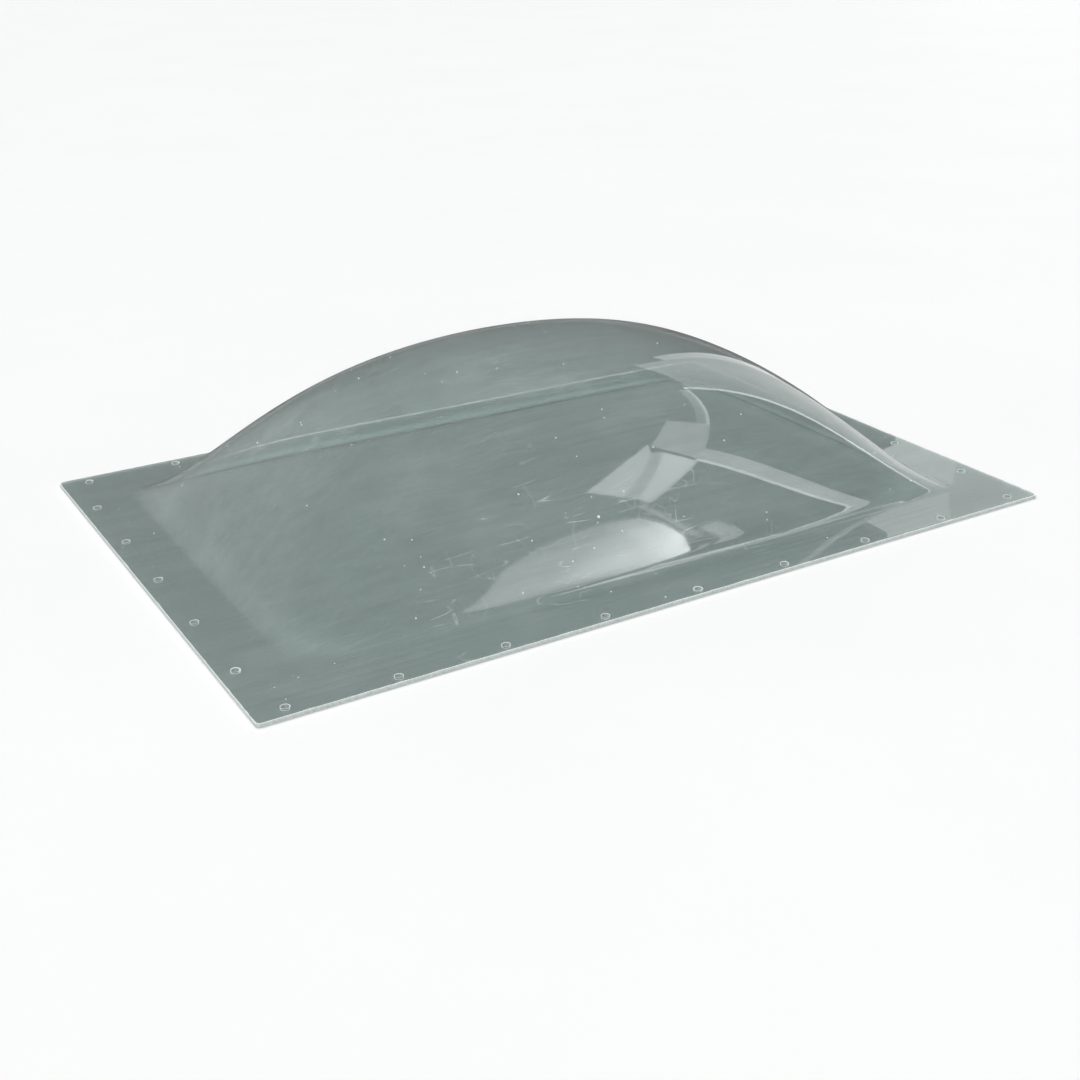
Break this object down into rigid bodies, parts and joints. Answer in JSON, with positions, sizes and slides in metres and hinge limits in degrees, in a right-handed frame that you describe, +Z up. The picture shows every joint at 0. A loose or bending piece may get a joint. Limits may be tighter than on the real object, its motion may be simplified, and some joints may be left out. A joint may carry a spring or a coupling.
{
  "type": "roof skylight dome",
  "caption": "Clear plastic roof skylight: a blown rectangular dome with a flat flange drilled all round for screws.",
  "frame": {"origin": "centre of the flange's underside, on the face that seats on the roof curb", "axes": "+X along the long side, +Y across the short side, +Z up through the crown of the dome"},
  "size_m": [0.6604, 0.4572, 0.13],
  "materials": {
    "tinted_sheet": "gloss"
  },
  "bodies": {
    "root": {"dome_sheet": "tinted_sheet"}
  },
  "joints": []
}
